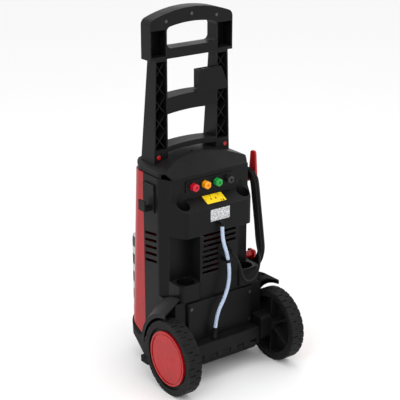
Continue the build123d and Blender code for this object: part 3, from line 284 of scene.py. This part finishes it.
# ---------------------------------------------------------------- spray nozzles
# Four quick-connect nozzles, told apart by the colour of their moulded collars. Each has a turned brass
# insert with a small hole in its tip.
collar_colours = {"red": [0.50, 0.004, 0.02], "yellow": [0.85, 0.33, 0.004], "green": [0.006, 0.30, 0.045],
                  "black": [0.007, 0.007, 0.0075]}
insert_r = 0.0042
insert_depth = 0.0022
rim_width = 0.45         # shares of the insert's radius: its chamfered rim, then the step down to the hole
step_width = 0.22
rim_fall = 0.0004
hole_depth = 0.0016
insert_wall = 0.0006
for colour, shade in collar_colours.items():
    collar = moulded(f"collar {colour}", shade, [min(1.0, c * 1.15 + 0.03) for c in shade], 0.34, 1400.0,
                     0.00002, wear_and_highlight=0.5, dusty=0.04, coat=0.1, specular=0.4)
    node = f"nozzle_{colour}"
    dress(collar, node)
    low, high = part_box(node)
    tip = bmesh.new()
    bmesh.ops.create_circle(tip, cap_ends=True, segments=32, radius=insert_r * 0.95)
    face = tip.faces[:]
    bmesh.ops.inset_region(tip, faces=face, thickness=insert_r * rim_width, depth=-rim_fall)
    bmesh.ops.inset_region(tip, faces=face, thickness=insert_r * step_width, depth=-hole_depth)
    bmesh.ops.solidify(tip, geom=tip.faces[:], thickness=insert_wall)
    bmesh.ops.rotate(tip, verts=tip.verts, matrix=Matrix.Rotation(-math.pi / 2, 3, "X"))
    centre = Vector(((low[0] + high[0]) / 2, high[1] - insert_depth, (low[2] + high[2]) / 2))
    bmesh.ops.translate(tip, verts=tip.verts, vec=centre)
    bmesh.ops.recalc_face_normals(tip, faces=tip.faces)
    mesh = bpy.data.meshes.new(f"tip {colour}")
    tip.to_mesh(mesh)
    tip.free()
    piece = bpy.data.objects.new(f"nozzle_tip_{colour}", mesh)
    bpy.context.collection.objects.link(piece)
    mesh.materials.append(brass)
    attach(piece, f"nozzle_{colour}_body")

# ---------------------------------------------------------------- labels
# Printed polyester film. The yellow one on the shelf and the silver one below it both hold rows of short
# dark bars; neither has any lettering.


def film(name, paper, ink, column_scale, row_scale, ink_share, down_axis):
    """Printed film: ink bars in rows, with soft print noise."""
    material = bpy.data.materials.new(name)
    material.use_nodes = True
    tree = material.node_tree
    shader = tree.nodes["Principled BSDF"]
    place = add(tree, "ShaderNodeTexCoord")
    axes = add(tree, "ShaderNodeSeparateXYZ", [(0, place.outputs["Object"])])
    row = maths(tree, "MULTIPLY", axes.outputs[down_axis], row_scale)
    row_share = maths(tree, "FRACT", row, 0.0)
    row_number = maths(tree, "FLOOR", row, 0.0)
    across = maths(tree, "MULTIPLY", axes.outputs["X"], column_scale)
    spot = add(tree, "ShaderNodeCombineXYZ", [(0, across), (1, maths(tree, "MULTIPLY", row_number, 7.31))])
    words = add(tree, "ShaderNodeTexNoise", [("Vector", spot.outputs[0]), ("Scale", 1.0), ("Detail", 2.0)])
    bars = maths(tree, "MULTIPLY", maths(tree, "LESS_THAN", row_share, 0.52),
                 maths(tree, "GREATER_THAN", words.outputs[0], 1.0 - ink_share))
    base = mixed(tree, bars, paper + [1], ink + [1])
    soil = add(tree, "ShaderNodeTexNoise", [("Vector", place.outputs["Object"]), ("Scale", 90.0),
                                            ("Detail", 6.0)])
    base = mixed(tree, maths(tree, "MULTIPLY", ramp(tree, soil.outputs[0], 0.5, 0.8), 0.25), base,
                 [c * 0.7 for c in paper] + [1])
    tree.links.new(base, shader.inputs["Base Color"])
    rough = add(tree, "ShaderNodeMapRange", [(0, soil.outputs[0]), (1, 0.3), (2, 0.7), (3, 0.28), (4, 0.42)])
    tree.links.new(rough.outputs[0], shader.inputs["Roughness"])
    bump = add(tree, "ShaderNodeBump", [("Height", soil.outputs[0]), ("Strength", 0.3), ("Distance", 0.00002)])
    tree.links.new(bump.outputs[0], shader.inputs["Normal"])
    return material


dress(film("yellow film", [0.90, 0.62, 0.004], [0.03, 0.025, 0.01], 95.0, 105.0, 0.42, "Y"), "warning_label")
dress(film("silver film", [0.62, 0.63, 0.64], [0.06, 0.06, 0.065], 320.0, 330.0, 0.50, "Z"), "rating_label")

# ---------------------------------------------------------------- mains cord
# Round rubber-sheathed cord, 7 mm thick and 5.2 m long: out of the gland in the rear face, round the
# corner into the hank, seven and a half turns up the rear side and over both hooks, then down to the plug.
cord_d = 0.007
hank_y = -0.016
hank_top_z = 0.4787
hank_low_z = 0.304
lead_points = [(-0.027, 0.060, 0.343), (-0.028, 0.089, 0.338), (-0.032, 0.109, 0.316), (-0.039, 0.111, 0.284),
               (-0.055, 0.105, 0.257), (-0.083, 0.098, 0.248), (-0.111, 0.088, 0.260), (-0.131, 0.073, 0.282),
               (-0.142, 0.054, 0.303), (-0.149, 0.036, 0.327)]
pitch = 0.0076
near_x = -0.1515
# Each turn's place in the hank: how far out from the hooks, and how far from the housing.
lay_of_turns = [(0, 0), (0, 1), (0, 2), (1, 2), (1, 1), (1, 0), (2, 0), (2, 1)]
top_r = 0.0240
low_r = 0.0535
top_steps = 8
low_steps = 12
# Shares of a side's height at which it has points: close together where it meets the bends.
side_shares = [0.04, 0.14, 0.32, 0.5, 0.68, 0.86, 0.96]
sides_and_top = 2 * len(side_shares) + top_steps
# When in its lap the first turn shifts over, how much sooner each later one does, and how long it takes.
shift_start = 0.87
shift_sooner = 0.035
shift_span = 0.12
# The looseness of a turn: a slow bulge outwards, a finer ripple that differs per turn, and a sideways sway.
bulge, bulge_rate = 0.0013, 5.1
ripple, ripple_rate, ripple_per_turn = 0.00025, 9.0, 2.3
sway, sway_rate = 0.0007, 4.3


def turn_points(order):
    """One turn of the hank: up its rear side, over the upper hook, down its front and round the bottom.

    Each turn shifts to the next one's place a little later than the next one leaves it."""
    first = lay_of_turns[order]
    second = lay_of_turns[min(order + 1, len(lay_of_turns) - 1)]
    reach = hank_top_z - hank_low_z
    tilt = math.asin((low_r - top_r) / reach)
    stops = [(tilt, share) for share in side_shares]
    stops += [(tilt + (math.pi - 2 * tilt) * (i + 0.5) / top_steps, 1.0) for i in range(top_steps)]
    stops += [(math.pi - tilt, share) for share in reversed(side_shares)]
    stops += [(math.pi - tilt + (math.pi + 2 * tilt) * (i + 0.5) / low_steps, 0.0) for i in range(low_steps)]
    points = []
    for i, (angle, share) in enumerate(stops):
        u = i / len(stops)
        moved = min(1.0, max(0.0, (u - shift_start + shift_sooner * order) / shift_span))
        row = first[0] + (second[0] - first[0]) * moved
        column = first[1] + (second[1] - first[1]) * moved
        slack = math.sin(u * math.pi)
        out = pitch * row + slack * (bulge * math.sin(bulge_rate * u * math.pi)
                                     + ripple * math.sin(ripple_rate * u + ripple_per_turn * order))
        x = near_x - pitch * column + slack * sway * math.sin(sway_rate * u * math.pi)
        radius = low_r + (top_r - low_r) * share + out
        points.append((x, hank_y + math.cos(angle) * radius,
                       hank_low_z + reach * share + math.sin(angle) * radius))
    return points


def smooth_cord(name, points, radius, material):
    """A round cord along a smooth line that follows its points."""
    curve = bpy.data.curves.new(name, "CURVE")
    curve.dimensions = "3D"
    spline = curve.splines.new("NURBS")
    spline.points.add(len(points) - 1)
    for knot, point in zip(spline.points, points):
        knot.co = (*point, 1.0)
    spline.order_u = 3
    spline.use_endpoint_u = True
    spline.resolution_u = 10
    curve.bevel_depth = radius
    curve.bevel_resolution = 4
    curve.use_fill_caps = True
    curve.materials.append(material)
    piece = bpy.data.objects.new(name, curve)
    bpy.context.collection.objects.link(piece)
    return piece


sheath = moulded("cord sheath", [0.006, 0.006, 0.0065], [0.025, 0.025, 0.025], 0.42, 1500.0, 0.00003, wear_and_highlight=0.2,
                 dusty=0.03)
cord_points = lead_points + turn_points(0)[2:]
for order in range(1, len(lay_of_turns) - 1):
    cord_points += turn_points(order)
cord_points += turn_points(len(lay_of_turns) - 1)[:sides_and_top]
plug_end_points = [(-0.1585, -0.0840, 0.297), (-0.158, -0.0825, 0.280), (-0.158, -0.080, 0.263),
                   (-0.158, -0.080, 0.247)]
cord_points += plug_end_points
cord = smooth_cord("mains_cord", cord_points, cord_d / 2, sheath)
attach(cord, "chassis")
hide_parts("power_lead", "power_coil")

# The plug is one rubber moulding over two pins: a ribbed strain relief, a waisted body with finger ridges
# and a flat face.
low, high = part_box("plug")
plug_x = (low[0] + high[0]) / 2
plug_y = (low[1] + high[1]) / 2
body_top = high[2] - 0.022
body_low = low[2] + 0.018
profile = [(0.0038, high[2] - 0.002), (0.0046, high[2] - 0.006), (0.0042, high[2] - 0.010),
           (0.0052, high[2] - 0.014), (0.0048, body_top + 0.004), (0.0090, body_top),
           (0.0128, body_top - 0.006), (0.0120, body_top - 0.012), (0.0136, body_top - 0.016),
           (0.0124, body_top - 0.021), (0.0142, body_top - 0.026), (0.0156, body_low + 0.006),
           (0.0156, body_low + 0.001), (0.0148, body_low), (0.0, body_low)]
turned = bmesh.new()
verts = [turned.verts.new((r, 0.0, z)) for r, z in [(0.0, high[2] - 0.002)] + profile]
for a, b in zip(verts, verts[1:]):
    turned.edges.new((a, b))
bmesh.ops.spin(turned, geom=turned.verts[:] + turned.edges[:], cent=(0, 0, 0), axis=(0, 0, 1), dvec=(0, 0, 0),
               angle=math.tau, steps=40, use_merge=True, use_duplicate=False)
bmesh.ops.remove_doubles(turned, verts=turned.verts, dist=0.00002)
bmesh.ops.recalc_face_normals(turned, faces=turned.faces)
bmesh.ops.translate(turned, verts=turned.verts, vec=(plug_x, plug_y, 0))
mesh = bpy.data.meshes.new("plug body")
turned.to_mesh(mesh)
turned.free()
for face in mesh.polygons:
    face.use_smooth = True
plug_body = bpy.data.objects.new("plug_body", mesh)
bpy.context.collection.objects.link(plug_body)
mesh.materials.append(sheath)
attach(plug_body, "chassis")
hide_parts("plug")
pin_r = 0.0024
pin_tip_share = 0.8
pin_length = 0.019
pin_offset = 0.0095      # from the plug's middle to each pin
pin_middle = 0.0085      # from the plug's face down to the middle of a pin
pins = bmesh.new()
for side in (-1, 1):
    made = bmesh.ops.create_cone(pins, cap_ends=True, segments=24, radius1=pin_r * pin_tip_share, radius2=pin_r,
                                 depth=pin_length)
    bmesh.ops.translate(pins, verts=made["verts"],
                        vec=(plug_x, plug_y + side * pin_offset, body_low - pin_middle))
mesh = bpy.data.meshes.new("plug pins")
pins.to_mesh(mesh)
pins.free()
plug_pins = bpy.data.objects.new("plug_pins", mesh)
bpy.context.collection.objects.link(plug_pins)
mesh.materials.append(brass)
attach(plug_pins, "chassis")

# ---------------------------------------------------------------- detergent hose
# Clear PVC tube, 10 mm outside, reinforced with a crossed white braid. It is pushed on the elbow's barb and
# carries a strainer at its foot.
hose_d = 0.010
hose_points = [(0.0, 0.078, 0.416), (0.0, 0.0785, 0.380), (-0.011, 0.085, 0.340), (-0.017, 0.088, 0.298),
               (-0.014, 0.090, 0.256), (0.001, 0.091, 0.218), (0.026, 0.092, 0.182), (0.032, 0.0925, 0.143)]
clear = bpy.data.materials.new("clear braided hose")
clear.use_nodes = True
tree = clear.node_tree
shader = tree.nodes["Principled BSDF"]
place = add(tree, "ShaderNodeTexCoord")
thread = []
for lean in (1, -1):
    turned_map = add(tree, "ShaderNodeMapping", [("Vector", place.outputs["Object"]),
                                                 ("Rotation", (0.0, lean * 0.75, 0.0))])
    thread.append(add(tree, "ShaderNodeTexWave", [("Vector", turned_map.outputs[0]), ("Scale", 110.0),
                                                  ("Distortion", 0.6)], bands_direction="Z").outputs[0])
braid = ramp(tree, maths(tree, "MAXIMUM", thread[0], thread[1]), 0.80, 0.95)
cloud = add(tree, "ShaderNodeTexNoise", [("Vector", place.outputs["Object"]), ("Scale", 35.0), ("Detail", 4.0)])
wall_colour = mixed(tree, ramp(tree, cloud.outputs[0], 0.3, 0.7), [0.20, 0.29, 0.46, 1], [0.36, 0.45, 0.62, 1])
tree.links.new(mixed(tree, braid, wall_colour, [0.58, 0.66, 0.78, 1]), shader.inputs["Base Color"])
gloss = add(tree, "ShaderNodeMapRange", [(0, cloud.outputs[0]), (1, 0.3), (2, 0.7), (3, 0.14), (4, 0.26)])
tree.links.new(gloss.outputs[0], shader.inputs["Roughness"])
raised = add(tree, "ShaderNodeBump", [("Height", braid), ("Strength", 0.4), ("Distance", 0.0001)])
tree.links.new(raised.outputs[0], shader.inputs["Normal"])
shader.inputs["Coat Weight"].default_value = 0.3
shader.inputs["Coat Roughness"].default_value = 0.08
shader.inputs["Subsurface Weight"].default_value = 0.15
shader.inputs["Subsurface Radius"].default_value = (0.004, 0.004, 0.005)
hose = smooth_cord("suction_hose", hose_points, hose_d / 2, clear)
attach(hose, "chassis")
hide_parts("detergent_hose")

# ---------------------------------------------------------------- floor, light and camera
# A plain pale sweep, a large soft key from the rear left, a fill from the right and a broad top light.
floor_mesh = bpy.data.meshes.new("floor")
sheet = bmesh.new()
bmesh.ops.create_grid(sheet, x_segments=1, y_segments=1, size=40.0)
sheet.to_mesh(floor_mesh)
sheet.free()
floor = bpy.data.objects.new("floor", floor_mesh)
bpy.context.collection.objects.link(floor)
pale = bpy.data.materials.new("pale floor")
pale.use_nodes = True
pale.node_tree.nodes["Principled BSDF"].inputs["Base Color"].default_value = (0.92, 0.92, 0.92, 1)
pale.node_tree.nodes["Principled BSDF"].inputs["Roughness"].default_value = 0.9
floor_mesh.materials.append(pale)
world = bpy.data.worlds.new("studio")
world.use_nodes = True
world.node_tree.nodes["Background"].inputs[0].default_value = (1.0, 1.0, 1.0, 1)
world.node_tree.nodes["Background"].inputs[1].default_value = 1.0
bpy.context.scene.world = world


def soft_light(name, at, aim, size, watts):
    lamp = bpy.data.lights.new(name, "AREA")
    lamp.shape = "DISK"
    lamp.size = size
    lamp.energy = watts
    holder = bpy.data.objects.new(name, lamp)
    holder.location = at
    holder.rotation_euler = (Vector(aim) - Vector(at)).to_track_quat("-Z", "Y").to_euler()
    bpy.context.collection.objects.link(holder)


soft_light("key", (2.2, 1.4, 2.2), (0, 0, 0.5), 1.4, 22)
soft_light("fill", (-1.8, 2.4, 1.2), (0, 0, 0.4), 1.6, 10)
soft_light("top", (0.0, 0.3, 2.8), (0, 0, 0.5), 1.6, 14)

bpy.context.scene.view_settings.view_transform = "Standard"
camera = bpy.data.objects.new("camera", bpy.data.cameras.new("camera"))
camera.data.lens = 104.28
camera.data.sensor_width = 36.0
camera.location = (1.68718, 2.28087, 1.49032)
ahead = Vector((-0.556307, -0.758201, -0.340078))
camera.rotation_euler = ahead.to_track_quat("-Z", "Y").to_euler()
bpy.context.collection.objects.link(camera)
bpy.context.scene.camera = camera
